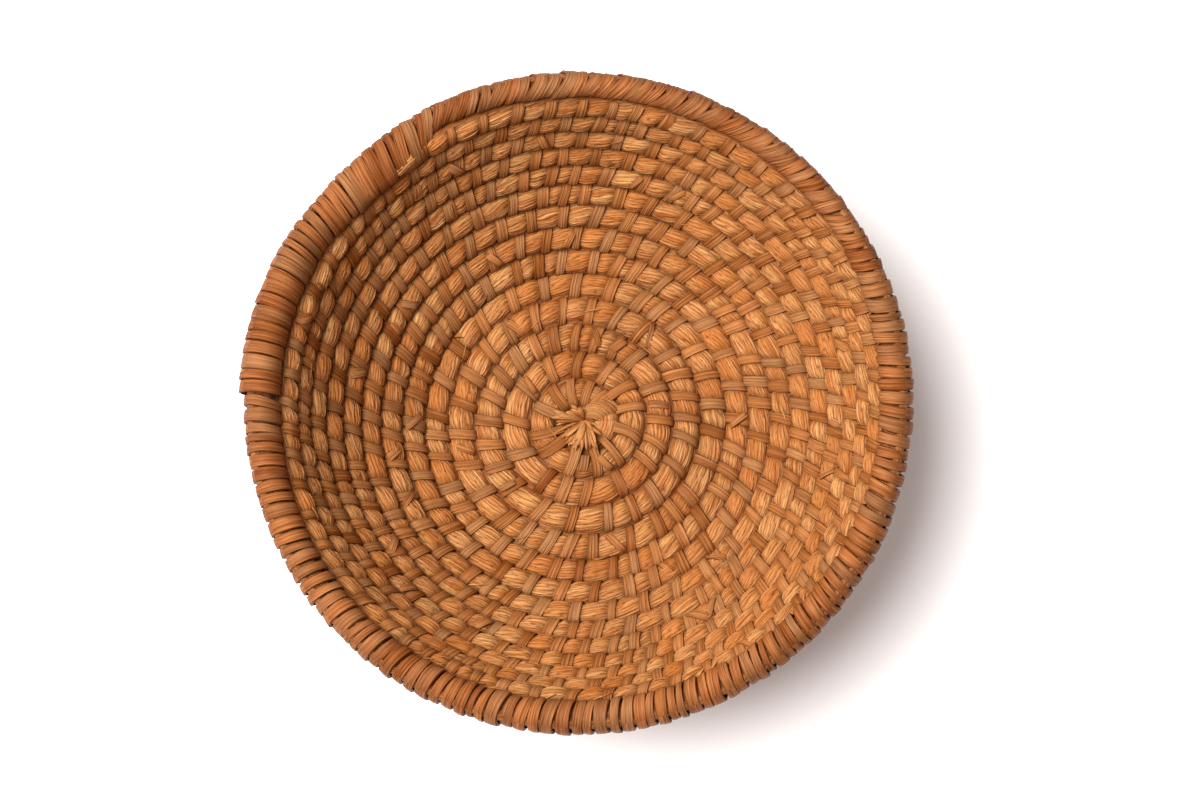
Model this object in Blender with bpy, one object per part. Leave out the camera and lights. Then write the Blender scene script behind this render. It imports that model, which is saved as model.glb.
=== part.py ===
"""Coiled straw basket.

One long straw rope is coiled from the middle of the base outwards and up into the wall. Every lap
is bound with split skeins that are sewn around the rope, and the top lap is lashed closely to
make the rim. The rope is divided here at each lap, so each lap of straw and each lap of binding is
a piece of its own. The basket rests on z = 0, centred on the Z axis, in metres.
"""
from math import acos, cos, pi, radians, sin

import bpy
import numpy as np

# Rope. A lap is one trip around the basket, and positions along the rope are counted in laps.
BASE_PITCH = 0.0132        # from lap to lap in the flat base
WALL_PITCH = 0.0123        # from lap to lap at the foot of the wall
TOP_PITCH = 0.0104         # from lap to lap just under the rim
PITCH_LAPS = (4.5, 6.0, 14.0)  # where the rope has these three pitches; it is even before them
FIRST_LAP_RADIUS = 0.0115  # of the rope's centreline where the rope starts, one lap from zero
ROPE_START = 1.0
WALL_RAMP = (4.9, 5.6)     # the rope turns up from the base over this stretch
FIRST_SLOPE = radians(24)  # of the wall at its foot
LAST_SLOPE = radians(66)   # of the wall under the rim
SLOPE_SPAN = (5.5, 13.5)   # laps over which the slope grows

# Rim, the last lap.
RIM_START = 14.35
WALL_PIECES = 13           # pieces that the rope is divided into before the rim, a lap each
RIM_END = 15.42
RIM_RADIUS = 0.1504        # outer radius that the rim is drawn to, wherever the lap below it is
RIM_SHIFT = -0.0012        # how far the rim's circle is off the coil's axis, along X
RIM_LEVEL = (0.3, 0.97)    # least and most cosine of the lean from the lap below to the rim
RIM_GAP = 0.0010           # between the rim and the lap below it, for the corners of both
TAIL_GAP = 0.0026          # the same where the rope's end lies against the rim's start
RIM_HALF = 0.0072          # half the rim's thickness
RIM_TAIL_HALF = 0.0053     # the same where the rope is running out
ROPE_TIP_HALF = 0.0022     # half the thickness at the rope's very end
RIM_SWELL = (14.36, 14.48)
RIM_THIN = (15.00, 15.12)
RIM_TAPER = (15.26, 15.42)

# Sections, for a bound rope that is LAP_HALF from its middle to each flat side.
LAP_HALF = 0.0063
SKEIN_THICKNESS = 0.0007
GAP = 0.0003               # between pieces that touch
LAP_GAP = 0.0005           # between laps, whose sections lean at different angles
SIDES = 8                  # flat sides of a section
BOUND_SIDES = 5            # of them under the binding, all but the three towards the lap before
STRAW_HALF = LAP_HALF - SKEIN_THICKNESS - 2 * GAP

SEGMENTS_PER_LAP = 24
RIM_SEGMENTS = 48         # more, because the section turns and swells there
END_STEP = 0.003           # laps; a short last segment squares the end face to the rope

# Starting knot: the bunched start of the straw, which curls up in the middle of the base.
KNOT_START = 0.35
KNOT_FILL = 0.97           # of the room between the basket's middle and the knot's centreline

STRAW = ("straw", (0.60, 0.33, 0.11), 0.55)
SKEIN = ("split_skein", (0.42, 0.21, 0.09), 0.50)


def smooth_step(value, start, end):
    x = np.clip((value - start) / (end - start), 0.0, 1.0)
    return x * x * (3 - 2 * x)


def lap_pitch(lap):
    """Distance from one lap to the next: even in the base, then falling up the wall."""
    return np.interp(lap, PITCH_LAPS, (BASE_PITCH, WALL_PITCH, TOP_PITCH))


def wall_slope(lap):
    """Angle of the basket's profile above level."""
    growth = np.clip((lap - SLOPE_SPAN[0]) / (SLOPE_SPAN[1] - SLOPE_SPAN[0]), 0.0, None)
    return smooth_step(lap, *WALL_RAMP) * (FIRST_SLOPE + (LAST_SLOPE - FIRST_SLOPE) * growth)


def rope_half(lap):
    """Half the bound rope's thickness, which swells at the rim and tapers out at its end."""
    half = (float(lap_pitch(lap)) - LAP_GAP) / 2
    half += (RIM_HALF - half) * smooth_step(lap, *RIM_SWELL)
    half += (RIM_TAIL_HALF - half) * smooth_step(lap, *RIM_THIN)
    half += (ROPE_TIP_HALF - half) * smooth_step(lap, *RIM_TAPER)
    return float(half)


def bound_scale(lap):
    """Size of the rope's section, against the one that the outlines are drawn for."""
    return rope_half(lap) / LAP_HALF


def knot_scale(lap):
    """The same for the starting knot, which shrinks towards the middle of the basket."""
    return min(rope_half(lap), KNOT_FILL * row_centre(lap)[0]) / LAP_HALF


def make_profile():
    """Centreline radius and height against laps, summed in small steps along the profile."""
    laps = np.linspace(KNOT_START, RIM_END, 3001)
    along = lap_pitch(laps) * (laps[1] - laps[0])
    radius = np.cumsum(along * np.cos(wall_slope(laps)))
    radius += FIRST_LAP_RADIUS - np.interp(ROPE_START, laps, radius)
    height = np.cumsum(along * np.sin(wall_slope(laps)))
    return laps, radius, height


PROFILE = make_profile()


def row_centre(lap):
    """Radius and height of the rope's centreline, above the base laps' centreline."""
    if lap <= RIM_START:
        return tuple(float(np.interp(lap, PROFILE[0], column)) for column in PROFILE[1:])
    radius, height = row_centre(lap - 1)
    lean = float(wall_slope(np.array(lap - 0.5)))
    drawn = float(smooth_step(lap, *RIM_SWELL))
    gap = LAP_GAP + (RIM_GAP - LAP_GAP) * drawn
    gap += (TAIL_GAP - gap) * float(smooth_step(lap, *RIM_TAPER))
    apart = rope_half(lap) + rope_half(lap - 1) + gap
    level = (RIM_RADIUS + RIM_SHIFT * cos(2 * pi * lap) - rope_half(lap) - radius) / apart
    lean += (acos(min(max(level, RIM_LEVEL[0]), RIM_LEVEL[1])) - lean) * drawn
    return radius + apart * cos(lean), height + apart * sin(lean)


def section_angle(lap):
    """Angle of the line from the lap before to this one, which the section leans along."""
    if lap - 1 < ROPE_START:
        return 0.0
    radius, height = row_centre(lap)
    before_radius, before_height = row_centre(lap - 1)
    return float(np.arctan2(height - before_height, radius - before_radius))


def rope_point(lap):
    radius, height = row_centre(lap)
    turn = 2 * pi * lap
    return np.array([radius * cos(turn), radius * sin(turn), height + rope_half(ROPE_START)])


def basket_centre():
    """Middle of the rim's outline, seen from above."""
    laps = np.linspace(RIM_START, RIM_END, 400)
    reach = np.array([rope_point(lap)[:2] * (1 + rope_half(lap) / row_centre(lap)[0]) for lap in laps])
    return (reach.min(axis=0) + reach.max(axis=0)) / 2


def lap_stations(start, end):
    """Positions along a lap's centreline: even segments, with a short one squaring each end."""
    trim = GAP / 2 / (2 * pi * row_centre(max(start, ROPE_START))[0])
    segments = RIM_SEGMENTS if start >= RIM_START else SEGMENTS_PER_LAP
    first = np.floor(start * segments + 1e-6) + 1
    last = np.ceil(end * segments - 1e-6)
    inner = np.arange(first, last) / segments
    inner = inner[(inner > start + 3 * END_STEP) & (inner < end - 3 * END_STEP)]
    first_pair = start + trim + np.array([0.0, END_STEP])
    last_pair = end - trim - np.array([END_STEP, 0.0])
    return np.concatenate([first_pair, inner, last_pair])


def make_collection(name):
    collection = bpy.data.collections.new(name)
    bpy.context.scene.collection.children.link(collection)
    return collection


def make_material(name, colour, roughness):
    material = bpy.data.materials.new(name)
    material.use_nodes = True
    shader = material.node_tree.nodes["Principled BSDF"]
    shader.inputs["Base Color"].default_value = (*colour, 1.0)
    shader.inputs["Roughness"].default_value = roughness
    shader.inputs["Metallic"].default_value = 0.0
    return material


def polygon(half, first_side, sides):
    """Corners of a regular eight-sided outline, half from its middle to each flat side."""
    corners = [2 * pi / SIDES * (first_side + k - 0.5) for k in range(sides + 1)]
    return [(half / cos(pi / SIDES) * cos(a), half / cos(pi / SIDES) * sin(a)) for a in corners]


def make_outline(name, points, guides):
    """A closed flat outline that a lap sweeps along its centreline; kept out of the model."""
    curve = bpy.data.curves.new(name, "CURVE")
    curve.dimensions = "2D"
    spline = curve.splines.new("POLY")
    spline.points.add(len(points) - 1)
    spline.use_cyclic_u = True
    for target, (x, y) in zip(spline.points, points):
        target.co = (x, y, 0.0, 1.0)
    outline = bpy.data.objects.new(name, curve)
    outline.hide_render = True
    outline.display_type = "WIRE"
    guides.objects.link(outline)
    return outline


def knot_outline(guides):
    return make_outline("knot_outline", polygon(LAP_HALF, 0, SIDES - 1)[::-1], guides)


def straw_outline(guides):
    """Straw under the binding, and out to the lap before on the side that the binding leaves open."""
    bound = polygon(STRAW_HALF, -(BOUND_SIDES // 2), BOUND_SIDES)
    bare = polygon(LAP_HALF - GAP, SIDES // 2, 1)
    return make_outline("straw_outline", (bound + bare)[::-1], guides)


def skein_outline(guides):
    """A thin open channel around the straw, open towards the lap before."""
    first_side = -(BOUND_SIDES // 2)
    outer = polygon(LAP_HALF, first_side, BOUND_SIDES)
    inner = polygon(LAP_HALF - SKEIN_THICKNESS, first_side, BOUND_SIDES)
    return make_outline("skein_outline", inner + outer[::-1], guides)


def add_sweep(name, start, end, outline, scale, material, centre, parts):
    """The outline swept along a stretch of the spiral, leaning with the wall."""
    curve = bpy.data.curves.new(name, "CURVE")
    curve.dimensions = "3D"
    curve.twist_mode = "Z_UP"
    curve.bevel_mode = "OBJECT"
    curve.bevel_object = outline
    curve.use_fill_caps = True
    stations = lap_stations(start, end)
    spline = curve.splines.new("POLY")
    spline.points.add(len(stations) - 1)
    for target, lap in zip(spline.points, stations):
        x, y, z = rope_point(lap)
        target.co = (x - centre[0], y - centre[1], z, 1.0)
        target.radius = scale(lap)
        target.tilt = -section_angle(lap)
    curve.materials.append(material)
    piece = bpy.data.objects.new(name, curve)
    parts.objects.link(piece)
    return piece


def build():
    for old in list(bpy.data.objects):
        bpy.data.objects.remove(old)
    parts = make_collection("coiled_straw_basket")
    guides = make_collection("guides")
    straw = make_material(*STRAW)
    skein = make_material(*SKEIN)
    knot_section = knot_outline(guides)
    straw_section = straw_outline(guides)
    skein_section = skein_outline(guides)
    centre = basket_centre()

    add_sweep("starting_knot", KNOT_START, ROPE_START, knot_section, knot_scale, straw, centre, parts)
    lap_ends = [ROPE_START] + [RIM_START - k for k in range(WALL_PIECES - 1, -1, -1)] + [RIM_END]
    names = [f"lap_{number:02d}" for number in range(1, WALL_PIECES + 1)]
    straw_names = [f"straw_{name}" for name in names] + ["rim_straw"]
    skein_names = [f"binding_{name}" for name in names] + ["rim_lashing"]
    for k, (start, end) in enumerate(zip(lap_ends[:-1], lap_ends[1:])):
        add_sweep(straw_names[k], start, end, straw_section, bound_scale, straw, centre, parts)
        add_sweep(skein_names[k], start, end, skein_section, bound_scale, skein, centre, parts)


build()
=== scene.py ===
"""Coiled straw basket: straw rope, sewn skeins, lashed rim and their finishes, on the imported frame."""
from math import cos, pi, radians, sin

import bpy
import numpy as np
from bpy.props import FloatProperty, FloatVectorProperty, IntProperty, PointerProperty
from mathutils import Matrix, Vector


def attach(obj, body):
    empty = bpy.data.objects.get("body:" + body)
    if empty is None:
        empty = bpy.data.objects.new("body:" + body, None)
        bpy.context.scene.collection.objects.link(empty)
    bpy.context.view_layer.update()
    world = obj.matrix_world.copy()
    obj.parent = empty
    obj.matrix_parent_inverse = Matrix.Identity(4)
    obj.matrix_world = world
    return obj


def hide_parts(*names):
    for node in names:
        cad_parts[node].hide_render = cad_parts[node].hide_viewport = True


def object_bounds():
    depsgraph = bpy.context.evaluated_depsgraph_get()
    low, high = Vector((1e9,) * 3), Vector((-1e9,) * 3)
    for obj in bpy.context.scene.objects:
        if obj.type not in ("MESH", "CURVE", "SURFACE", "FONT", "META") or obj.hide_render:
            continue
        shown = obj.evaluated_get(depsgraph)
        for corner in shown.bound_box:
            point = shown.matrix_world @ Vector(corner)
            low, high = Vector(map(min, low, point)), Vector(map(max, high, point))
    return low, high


bl_info = {
    "name": "Coiled straw basket",
    "version": (1, 0, 0),
    "blender": (4, 5, 0),
    "location": "View3D > Sidebar > Basket",
    "description": "Builds a coiled straw basket, sewn with split skeins and lashed at the rim",
    "category": "Object",
}

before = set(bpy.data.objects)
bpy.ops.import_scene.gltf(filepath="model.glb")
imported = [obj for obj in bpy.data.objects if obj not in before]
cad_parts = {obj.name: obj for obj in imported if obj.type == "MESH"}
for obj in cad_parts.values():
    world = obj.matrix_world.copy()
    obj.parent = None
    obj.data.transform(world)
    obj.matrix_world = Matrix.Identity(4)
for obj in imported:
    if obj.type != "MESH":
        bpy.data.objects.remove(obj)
CAD_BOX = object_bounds()
BODY = "root"
LAPS = [name[-2:] for name in sorted(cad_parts) if name.startswith("straw_lap_")]
TURN = 2 * pi


# ---- Sizes and colours that a user would change ----

def metres(name, description, default):
    """A setting that is a length."""
    return FloatProperty(name=name, description=description, default=default, unit="LENGTH")


def degrees(name, description, default):
    """A setting that is an angle, given in degrees."""
    return FloatProperty(name=name, description=description, default=radians(default), subtype="ANGLE")


def paint(name, description, default):
    """A setting that is a colour."""
    return FloatVectorProperty(name=name, description=description, default=default, subtype="COLOR")


class RopeShape(bpy.types.PropertyGroup):
    """The coil that the straw rope follows, counted in laps from the middle of the base."""

    base_pitch: metres("Base pitch", "From lap to lap in the flat base", 0.0132)
    wall_pitch: metres("Wall pitch", "From lap to lap at the foot of the wall", 0.0123)
    top_pitch: metres("Top pitch", "From lap to lap just under the rim", 0.0104)
    first_radius: metres(
        "First radius", "Of the rope's centreline where its first lap starts", 0.0115)
    lap_gap: metres("Lap gap", "Between neighbouring laps", 0.0005)
    first_slope: degrees("Foot slope", "Slope of the wall at its foot", 24)
    last_slope: degrees("Top slope", "Slope of the wall under the rim", 66)
    rim_radius: metres("Rim radius", "Outer radius that the rim is drawn to", 0.1504)
    rim_shift: metres(
        "Rim shift", "How far the rim's circle is off the coil's axis, along X", -0.0012)
    rim_half: metres("Rim half thickness", "Half the lashed rim's thickness", 0.0072)
    tail_half: metres("Rim tail half thickness", "The same where the rope is running out", 0.0053)
    tip_half: metres("Tip half thickness", "The same at the rope's end", 0.0008)


class StrawShape(bpy.types.PropertyGroup):
    """The straws that the rope is made of."""

    strands: IntProperty(
        name="Strands", description="Straws around the rope's outside", default=25)
    lay: degrees("Lay", "Angle of the straws to the rope", 10)
    ridge: metres("Ridge", "Height of each straw's back over its edges", 0.00070)
    uneven: metres("Unevenness", "How far single straws stand proud or lie deep", 0.00065)
    swell: metres("Swell", "How far the straw swells between two stitches", 0.00125)


class SkeinShape(bpy.types.PropertyGroup):
    """The split skeins that bind the rope."""

    width: metres("Width", "Usual width of a skein", 0.0053)
    thickness: metres("Thickness", "Usual thickness of a skein", 0.00068)
    spacing: metres("Spacing", "From stitch to stitch along the rope", 0.0128)
    slant: metres("Slant", "How far a stitch drifts along the rope on its way over it", 0.0034)
    rim_width: metres("Rim width", "From wrap to wrap along the rim", 0.0055)


class Finish(bpy.types.PropertyGroup):
    """Colours of the straw and the skeins."""

    straw_light: paint("Light straw", "The palest straws", (0.62, 0.308, 0.108))
    straw_dark: paint("Dark straw", "The brownest straws", (0.33, 0.085, 0.010))
    straw_red: paint("Red straw", "Straws of a redder bundle", (0.45, 0.135, 0.024))
    skein_light: paint("Light skein", "The palest skeins", (0.43, 0.168, 0.052))
    skein_dark: paint("Dark skein", "The darkest skeins", (0.16, 0.040, 0.005))
    skein_bloom: paint("Skein bloom", "Dusty bloom on some skeins", (0.30, 0.160, 0.070))
    rim_light: paint("Light rim", "The palest rim skeins", (0.42, 0.150, 0.047))
    rim_dark: paint("Dark rim", "The darkest rim skeins", (0.15, 0.034, 0.004))
    # The colour that hollows, grooves, skein edges and broad patches are darkened towards: painted shade in
    # the hollows, grooves and along the edges, and real dust and dirt in the hollows and patches.
    dirt_and_shade: paint("Dirt_and_shade", "Old dust and dirt between the laps", (0.065, 0.013, 0.001))


class Studio(bpy.types.PropertyGroup):
    """Camera and lights."""

    tilt: degrees("Camera tilt", "Camera's lean from straight down", 9.0)
    distance: metres("Camera distance", "From the rim to the camera", 1.10)
    view_width: metres("View width", "Width of the view at the rim's height", 0.5408)
    key_power: FloatProperty(
        name="Key light", description="Power of the key light", default=124.0, unit="POWER")
    fill: FloatProperty(name="Fill", description="Brightness of the surroundings", default=0.47)


# ---- Small helpers ----

CHANCE_FACTORS, CHANCE_SHIFT, CHANCE_MULTIPLE = (12.9898, 78.233, 37.719), 4.137, 43758.5453


def smooth_step(value, start, end):
    """Rises from 0 to 1 between start and end as three x squared less two x cubed."""
    x = np.clip((np.asarray(value, float) - start) / (end - start), 0.0, 1.0)
    return x * x * (3 - 2 * x)


def chance(*keys):
    """A repeatable value from 0 to 1 for whole numbers: the fraction of a large multiple of a sine."""
    total = sum(np.asarray(key, float) * factor for key, factor in zip(keys, CHANCE_FACTORS))
    return np.abs(np.sin(total + CHANCE_SHIFT) * CHANCE_MULTIPLE) % 1.0


def drift(x, seed=0):
    """Smooth noise from -1 to 1: chance at each whole number, blended in between."""
    low = np.floor(x)
    blend = smooth_step(x - low, 0.0, 1.0)
    return 2 * ((1 - blend) * chance(low, seed) + blend * chance(low + 1, seed)) - 1


def unit(vectors):
    """Vectors in the same directions, each one long."""
    return vectors / np.linalg.norm(vectors, axis=-1, keepdims=True)


def grid_faces(rows, columns):
    """Corner indices of a grid's quads, with its last column joined to its first."""
    i, j = np.meshgrid(np.arange(rows - 1), np.arange(columns), indexing="ij")
    after = (j + 1) % columns
    return np.stack([i * columns + j, (i + 1) * columns + j, (i + 1) * columns + after, i * columns + after],
                    axis=-1).reshape(-1, 4)


def grid_uv(u, v):
    """Corner coordinates of a grid's quads, from values at its rows and at its columns plus one."""
    low, high = slice(None, -1), slice(1, None)
    corners = ((low, low), (high, low), (high, high), (low, high))
    return np.stack([np.stack([u[corner], v[corner]], -1) for corner in corners], axis=2).reshape(-1, 2)


def put_in_scene(thing):
    """Puts an object into the scene."""
    bpy.context.scene.collection.objects.link(thing)
    return thing


def make_piece(name, points, quads, quad_uv, values, material, triangles=None, sharp=None):
    """A mesh object at the origin from arrays of points and corners, with a map and point values."""
    mesh = bpy.data.meshes.new(name)
    triangles = np.zeros((0, 3), int) if triangles is None else triangles
    mesh.vertices.add(len(points))
    mesh.vertices.foreach_set("co", np.ascontiguousarray(points, np.float32).ravel())
    corners = np.concatenate([quads.ravel(), triangles.ravel()]).astype(np.int32)
    starts = np.concatenate([np.arange(len(quads)) * 4,
                             len(quads) * 4 + np.arange(len(triangles)) * 3])
    mesh.loops.add(len(corners))
    mesh.loops.foreach_set("vertex_index", corners)
    mesh.polygons.add(len(starts))
    mesh.polygons.foreach_set("loop_start", starts.astype(np.int32))
    mesh.update(calc_edges=True)
    uv = np.zeros((len(corners), 2), np.float32)
    uv[:len(quad_uv)] = quad_uv
    mesh.uv_layers.new(name="fibres").data.foreach_set("uv", uv.ravel())
    for key, column in values.items():
        values_of_points = mesh.attributes.new(key, "FLOAT", "POINT").data
        values_of_points.foreach_set("value", column.astype(np.float32).ravel())
    mesh.shade_smooth()
    if sharp is not None:
        mesh.set_sharp_from_angle(angle=sharp)
    mesh.materials.append(material)
    mesh.validate()
    piece = put_in_scene(bpy.data.objects.new(name, mesh))
    return piece


# ---- The coil ----

KNOT_START, ROPE_START, RIM_START, RIM_END = 0.35, 1.0, 14.35, 15.50
PITCH_LAPS = (4.5, 6.0, 14.0)
WALL_RAMP = (4.9, 5.6)
SLOPE_SPAN = (5.5, 13.5)
RIM_SWELL, RIM_THIN, RIM_TAPER = (14.36, 14.48), (15.00, 15.12), (15.29, 15.50)
RIM_GAP = 0.0010
RIM_LEVEL = (0.3, 0.97)
KNOT_FILL = 0.97


class Coil:
    """The rope's centreline, thickness and lean as tables against laps, and points around it.

    Radius and height are sums of the pitch times the cosine and sine of the wall's slope. The rim
    is the lap below it, moved by both half thicknesses along a lean whose cosine is what the rim
    needs to reach its circle, divided by that distance.
    """

    def __init__(self, shape):
        self.laps = np.linspace(KNOT_START, RIM_END, 30001)
        pitch = np.interp(self.laps, PITCH_LAPS, (shape.base_pitch, shape.wall_pitch, shape.top_pitch))
        growth = np.clip((self.laps - SLOPE_SPAN[0]) / (SLOPE_SPAN[1] - SLOPE_SPAN[0]), 0.0, None)
        slope = shape.first_slope + (shape.last_slope - shape.first_slope) * growth
        slope = slope * smooth_step(self.laps, *WALL_RAMP)
        along = pitch * (self.laps[1] - self.laps[0])
        self.radius = np.cumsum(along * np.cos(slope))
        self.radius += shape.first_radius - np.interp(ROPE_START, self.laps, self.radius)
        self.height = np.cumsum(along * np.sin(slope))
        self.half = (pitch - shape.lap_gap) / 2
        for stretch, half in ((RIM_SWELL, shape.rim_half), (RIM_THIN, shape.tail_half),
                              (RIM_TAPER, shape.tip_half)):
            self.half += (half - self.half) * smooth_step(self.laps, *stretch)
        self.lay_rim(shape, slope)
        before_radius = np.interp(self.laps - 1, self.laps, self.radius)
        before_height = np.interp(self.laps - 1, self.laps, self.height)
        self.lean = np.arctan2(self.height - before_height, self.radius - before_radius)
        self.lean[self.laps < ROPE_START + 1] = 0.0
        self.height += self.half_at(ROPE_START)
        self.length = np.concatenate([[0.0], np.cumsum(
            np.hypot(TURN * np.diff(self.laps) * self.radius[1:], np.diff(self.radius)))])
        self.centre = np.zeros(2)
        reach = self.point(self.laps[self.laps > RIM_START], 0.0, 1.0)
        self.centre = (reach.min(axis=0)[:2] + reach.max(axis=0)[:2]) / 2

    def lay_rim(self, shape, slope):
        """Draws the rim to its circle: first its own lap, then the end that runs on beside its start."""
        for start, end in ((RIM_START, RIM_START + 1), (RIM_START + 1, RIM_END)):
            rim = (self.laps > start) & (self.laps <= end)
            laps, below = self.laps[rim], self.laps[rim] - 1
            drawn = smooth_step(laps, *RIM_SWELL)
            apart = self.half[rim] + self.half_at(below) + shape.lap_gap
            apart = apart + (RIM_GAP - shape.lap_gap) * drawn
            reach = shape.rim_radius + shape.rim_shift * np.cos(TURN * laps)
            level = np.clip((reach - self.half[rim] - self.radius_at(below)) / apart, *RIM_LEVEL)
            lean = np.interp(laps - 0.5, self.laps, slope)
            lean += (np.arccos(level) - lean) * drawn
            height = np.interp(below, self.laps, self.height) + apart * np.sin(lean)
            self.radius[rim] = self.radius_at(below) + apart * np.cos(lean)
            self.height[rim] = height

    def radius_at(self, lap):
        return np.interp(lap, self.laps, self.radius)

    def half_at(self, lap):
        return np.interp(lap, self.laps, self.half)

    def length_at(self, lap):
        return np.interp(lap, self.laps, self.length)

    def lap_at(self, length):
        return np.interp(length, self.length, self.laps)

    def axes(self, lap):
        """Unit vectors across the rope at a lap: away from the lap before, and into the bowl."""
        turn, lean = TURN * np.asarray(lap), np.interp(lap, self.laps, self.lean)
        out = np.stack([np.cos(turn) * np.cos(lean), np.sin(turn) * np.cos(lean), np.sin(lean)], -1)
        inside = np.stack([-np.cos(turn) * np.sin(lean), -np.sin(turn) * np.sin(lean),
                           np.cos(lean)], -1)
        return out, inside

    def middle(self, lap):
        """The rope's centreline."""
        turn, radius = TURN * np.asarray(lap), self.radius_at(lap)
        height = np.interp(lap, self.laps, self.height)
        return np.stack([radius * np.cos(turn) - self.centre[0], radius * np.sin(turn) - self.centre[1],
                         height], -1)

    def point(self, lap, angle, reach):
        """A point at an angle around the rope and at reach half thicknesses from its centreline."""
        out, inside = self.axes(lap)
        across = (np.cos(angle) * reach * self.half_at(lap))[..., None]
        above = (np.sin(angle) * reach * self.half_at(lap))[..., None]
        return self.middle(lap) + across * out + above * inside


LAP_SQUARENESS, RIM_SQUARENESS = 2.7, 2.15


def rope_outline(angle, squareness=LAP_SQUARENESS):
    """Reach of the rope's rounded-square section: a superellipse."""
    total = np.abs(np.cos(angle)) ** squareness + np.abs(np.sin(angle)) ** squareness
    return total ** (-1 / squareness)


def above_floor(points):
    """Presses what would be under the floor flat onto it."""
    points[..., 2] = np.maximum(points[..., 2], CAD_BOX[0].z)
    return points


# ---- Stitches ----

class Stitches:
    """Where each stitch crosses the rope.

    A stitch passes between two stitches of the lap before, so each gap there gives one stitch near
    its middle, drawn part of the way to an even spacing. A gap that is too long gives one more, and
    one that is too short gives none.
    """

    FIRST_LAP, FIRST_PLACE = 12, 1.13
    TOO_NEAR, TOO_FAR = 0.52, 1.52
    EVENING, STRAYING = 0.30, (-0.05, 0.05)
    WIDTHS, SLANTS = (0.80, 1.17), (0.5, 1.4)
    INNER, OUTER, TO_MIDDLE = (0.0009, 0.0018), (0.0003, 0.0008), (0.0045, 0.0075)

    def __init__(self, coil, skein):
        rng = np.random.default_rng(7)
        laps = list(self.FIRST_PLACE + np.arange(self.FIRST_LAP) / self.FIRST_LAP
                    + rng.uniform(-0.01, 0.01, self.FIRST_LAP))
        k = 0
        while laps[k] + 1 < RIM_START:
            spacing = skein.spacing / (TURN * coil.radius_at(laps[k] + 1))
            middle = (laps[k] + laps[k + 1]) / 2 + 1
            k += 1
            if middle - laps[-1] < self.TOO_NEAR * spacing:
                continue
            if middle - laps[-1] > self.TOO_FAR * spacing:
                laps.append((laps[-1] + middle) / 2 + rng.uniform(*self.STRAYING) * spacing)
            even = laps[-1] + spacing
            laps.append(middle + self.EVENING * np.clip(even - middle, -0.4 * spacing, 0.4 * spacing)
                        + rng.uniform(*self.STRAYING) * spacing)
        self.laps = np.array([lap for lap in laps if lap < RIM_START - 0.004])
        count = len(self.laps)
        self.half = skein.width / 2 * rng.uniform(*self.WIDTHS, count)
        self.slant = skein.slant * rng.uniform(*self.SLANTS, count)
        self.lengths = coil.length_at(self.laps)
        radius = coil.radius_at(self.laps)
        to_middle = radius - coil.half_at(self.laps) - rng.uniform(*self.TO_MIDDLE, count)
        self.inner = rng.uniform(*self.INNER, count)
        first = self.laps < ROPE_START + 1.15
        self.inner[first] = np.clip(to_middle[first], 0.0012, 0.0080)
        self.outer = rng.uniform(*self.OUTER, count)
        self.below = np.zeros(count)


class RimWraps:
    """Where each wrap of the lashing crosses the rim: side by side, with small slips.

    Where the rope runs out beside the rim's start, a wrap takes in both.
    """

    JOIN = (15.322, 15.342)
    WIDTHS, LEANS = (0.66, 1.26), (0.75, 1.25)
    NARROW_SHARE, NARROW, USUAL = 0.14, 0.80, 0.97
    INNER, JOIN_INNER, JOIN_WIDER = (0.0008, 0.0014), 0.0014, 0.06

    def __init__(self, coil, skein):
        rng = np.random.default_rng(19)
        start, end = coil.length_at(RIM_END - 1), coil.length_at(RIM_END - 0.002)
        widths = skein.rim_width * rng.uniform(*self.WIDTHS, int((end - start) / skein.rim_width))
        edges = start + np.concatenate([[0.0], np.cumsum(widths)]) * (end - start) / widths.sum()
        self.lengths = (edges[:-1] + edges[1:]) / 2
        self.laps = coil.lap_at(self.lengths)
        count = len(self.laps)
        narrow = rng.random(count) < self.NARROW_SHARE
        self.half = np.diff(edges) / 2 * np.where(narrow, self.NARROW, self.USUAL)
        turn = TURN * self.laps
        lean = 0.15 + 0.08 * np.cos(turn) + 0.10 * np.clip(-np.sin(turn), 0, 1)
        lean = lean + 0.58 * smooth_step(np.sin(turn - radians(10)), -0.15, 0.85)
        self.slant = 2 * coil.half_at(self.laps) * lean * rng.uniform(*self.LEANS, count)
        self.below = smooth_step(self.laps, *self.JOIN)
        join = self.below + 1 - smooth_step(self.laps, RIM_END - 1, RIM_END - 0.9)
        self.inner = rng.uniform(*self.INNER, count) + self.JOIN_INNER * join
        self.outer = np.zeros(count)
        self.half = self.half * (1 + self.JOIN_WIDER * self.below)


CROWN_ACROSS = np.array([-1.0, -0.84, 0.0, 0.84, 1.0])
CROWN_ABOVE = np.array([-0.45, 0.80, 1.0, 0.80, -0.45])
CROWN_EDGE = radians(48)
BAND_STEPS = 14
BAND_LENGTH = 0.036
BAND_SEAT = 0.00062


def ribbon_points(path, forward, normal, half, thickness, roll):
    """Carries a low crown along paths: five points, from one edge over the back to the other edge."""
    side = np.cross(forward, normal)
    across = half[..., None] * CROWN_ACROSS
    lift = thickness[..., None] * (CROWN_ABOVE + roll[..., None] * CROWN_ACROSS)
    return (path[:, :, None, :] + across[..., None] * side[:, :, None, :]
            + lift[..., None] * normal[:, :, None, :])


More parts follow.
